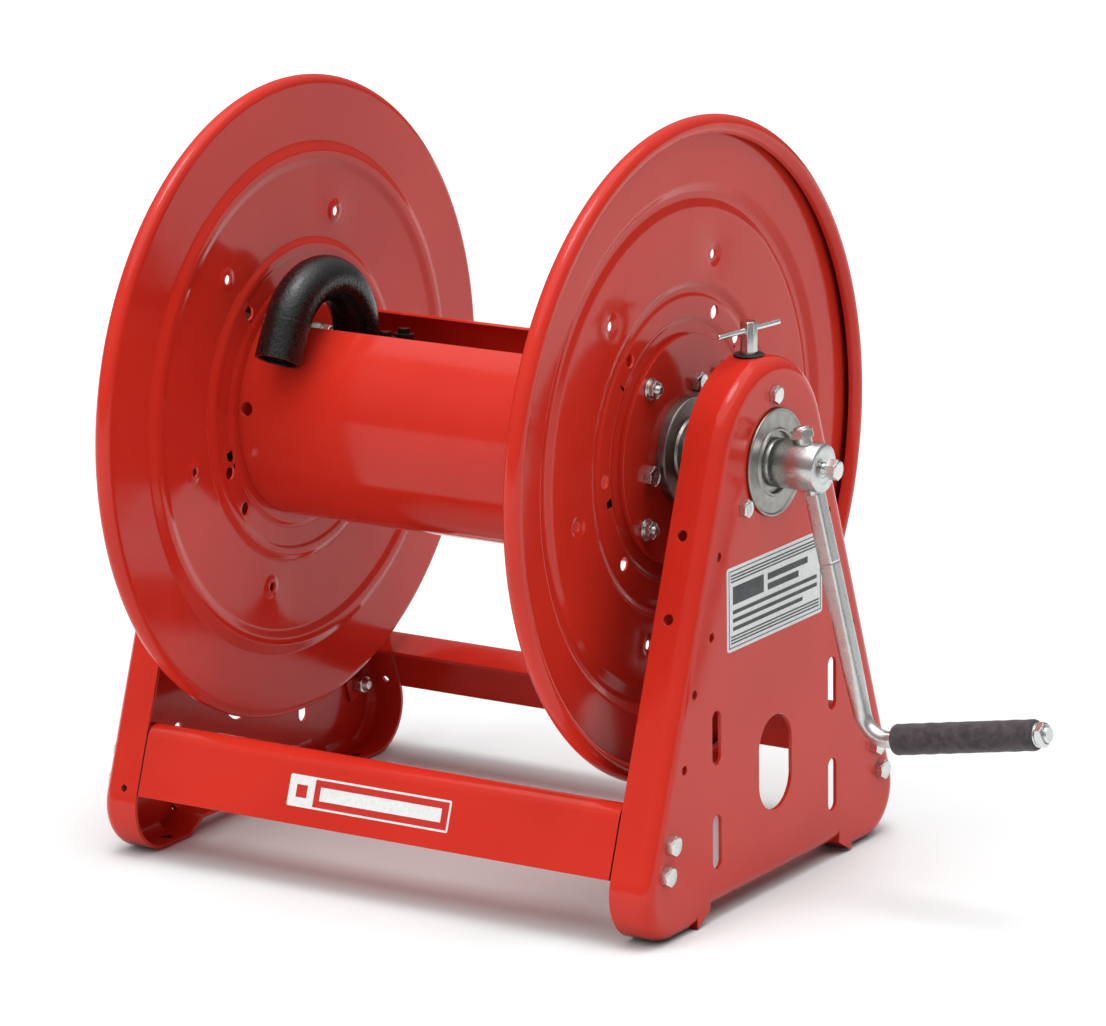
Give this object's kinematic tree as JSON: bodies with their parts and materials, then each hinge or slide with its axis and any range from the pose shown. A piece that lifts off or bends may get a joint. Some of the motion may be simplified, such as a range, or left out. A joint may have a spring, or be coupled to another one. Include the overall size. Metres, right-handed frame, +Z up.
{
  "type": "hose reel",
  "caption": "Hand-cranked hose reel with ribbed end discs on a pressed steel stand, with a gooseneck water outlet, a screw brake and a folded-rod crank with a turning grip.",
  "frame": {"origin": "on the floor in the middle of the four foot bolt holes, straight below the axle", "axes": "+X along the axle towards the crank, -Y towards the front, +Z up"},
  "size_m": [0.8247, 0.52, 0.6019],
  "materials": {
    "red_enamel": "gloss powder coat",
    "zinc_steel": "bright zinc plate",
    "bare_steel": "turned steel",
    "dark_steel": "pressed oiled steel",
    "black_pipe": "black textured coat",
    "rubber_seal": "matte",
    "grip_foam": "soft foam",
    "label_white": "printed film",
    "brake_lining": "woven lining",
    "brass": "machined"
  },
  "bodies": {
    "stand": {"side_frame_right": "red_enamel", "side_frame_left": "red_enamel", "cross_member_front": "red_enamel", "cross_member_rear": "red_enamel", "frame_bolts": "zinc_steel", "frame_nuts": "zinc_steel", "bearing_housing_right": "dark_steel", "bearing_housing_left": "dark_steel", "bearing_cover_right": "dark_steel", "bearing_cover_left": "dark_steel", "bearing_outer_right": "dark_steel", "bearing_outer_left": "dark_steel", "bearing_bolts": "zinc_steel", "bearing_nuts": "zinc_steel", "brake_nut": "bare_steel", "brake_washer": "black_pipe", "nameplate": "label_white", "front_label": "label_white"},
    "reel": {"bearing_inner_right": "dark_steel", "bearing_inner_left": "dark_steel", "disc_left": "red_enamel", "disc_right": "red_enamel", "drum_shell": "red_enamel", "hub_plate_left": "red_enamel", "hub_plate_right": "red_enamel", "hub_cap_left": "dark_steel", "hub_cap_right": "dark_steel", "hub_collar_left": "dark_steel", "hub_collar_right": "dark_steel", "hub_bolts": "zinc_steel", "hub_nuts": "zinc_steel", "shell_bolts": "zinc_steel", "shell_nuts": "zinc_steel", "crank_shaft": "bare_steel", "inlet_shaft": "bare_steel", "riser_block": "black_pipe", "riser_gasket": "rubber_seal", "gooseneck": "black_pipe", "riser_studs": "black_pipe", "riser_nuts": "black_pipe", "crank_arm": "zinc_steel", "crank_nut": "zinc_steel", "crank_lock_screw": "zinc_steel", "grip_washer": "zinc_steel", "grip_nut": "zinc_steel", "swivel_ring": "bare_steel"},
    "grip": {"grip_sleeve": "grip_foam"},
    "brake_shoe_unit": {"brake_shoe": "bare_steel", "brake_pad": "brake_lining"},
    "brake_handle": {"brake_screw": "bare_steel", "brake_tbar": "zinc_steel"},
    "swivel": {"swivel_body": "brass", "swivel_seals": "rubber_seal"}
  },
  "joints": [
    {"name": "reel_spin", "type": "hinge", "parent": "stand", "child": "reel", "pos_m": [0, 0, 0.342], "axis": [1, 0, 0], "continuous": true},
    {"name": "grip_spin", "type": "hinge", "parent": "reel", "child": "grip", "pos_m": [0.42026, 0, 0.14686], "axis": [0.9848, 0, 0.1736], "continuous": true},
    {"name": "brake_turn", "type": "hinge", "parent": "stand", "child": "brake_handle", "pos_m": [0.233, 0, 0.443], "axis": [0, 0, -1], "range_deg": [0, 240]},
    {"name": "brake_travel", "type": "slide", "parent": "stand", "child": "brake_shoe_unit", "axis": [0, 0, -1], "range_m": [0, 0.00101]},
    {"name": "swivel_spin", "type": "hinge", "parent": "stand", "child": "swivel", "pos_m": [-0.29, 0, 0.342], "axis": [1, 0, 0], "continuous": true}
  ],
  "couplings": [
    {"joint": "brake_travel", "follows": "brake_turn", "m_per_rad": 0.00023873}
  ]
}
